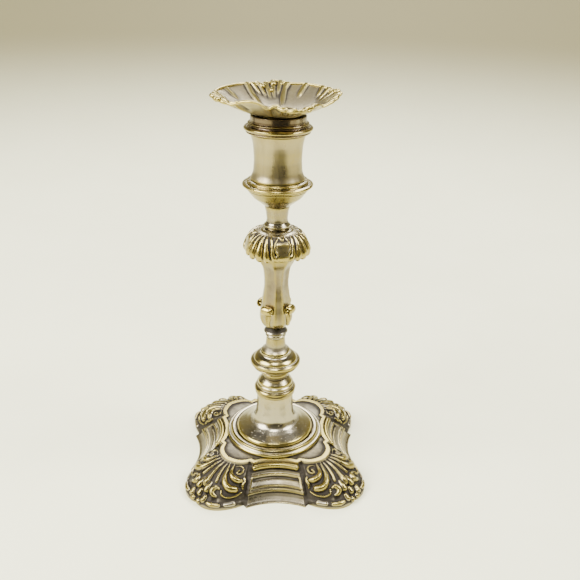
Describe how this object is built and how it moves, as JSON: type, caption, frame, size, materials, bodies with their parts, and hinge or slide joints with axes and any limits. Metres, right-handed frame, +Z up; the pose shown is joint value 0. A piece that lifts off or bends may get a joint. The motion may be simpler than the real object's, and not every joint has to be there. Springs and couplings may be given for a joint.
{
  "type": "candlestick",
  "caption": "Silver-plated candlestick with a waisted socket, a lift-out leaf-edged drip pan, a knopped baluster stem and a square base with shell corners.",
  "frame": {"origin": "centre of the base on the surface it stands on", "axes": "+Z up along the stem; -Y and the other sides face the four moulded panels of the base"},
  "size_m": [0.1256, 0.1256, 0.2635],
  "materials": {
    "silver_plate": "worn silver plate on brass, polished",
    "base_plate": "worn silver plate on brass with dark tarnish in the hollows",
    "brass": "bare brass, dull",
    "steel": "turned, threaded",
    "plaster": "cast plaster",
    "baize": "glued felted cloth"
  },
  "bodies": {
    "candlestick": {"base_shell": "base_plate", "well_ring": "silver_plate", "column": "silver_plate", "ring_knop": "silver_plate", "spool": "silver_plate", "disc_knop": "silver_plate", "stem_cone": "silver_plate", "stem_collar": "silver_plate", "baluster": "silver_plate", "shell_knop": "silver_plate", "neck_ring": "silver_plate", "neck": "silver_plate", "socket_bowl": "silver_plate", "socket_foot_ring": "silver_plate", "socket_body": "silver_plate", "socket_rim_ring": "silver_plate", "socket_floor": "brass", "tie_rod": "steel", "top_nut": "brass", "base_washer": "steel", "base_nut": "brass", "loading": "plaster", "bottom_plate": "brass", "baize_pad": "baize"},
    "nozzle": {"nozzle_sleeve": "silver_plate", "drip_pan": "silver_plate"}
  },
  "joints": [
    {"name": "nozzle_lift", "type": "slide", "parent": "candlestick", "child": "nozzle", "axis": [0, 0, 1], "range_m": [0, 0.032]}
  ]
}
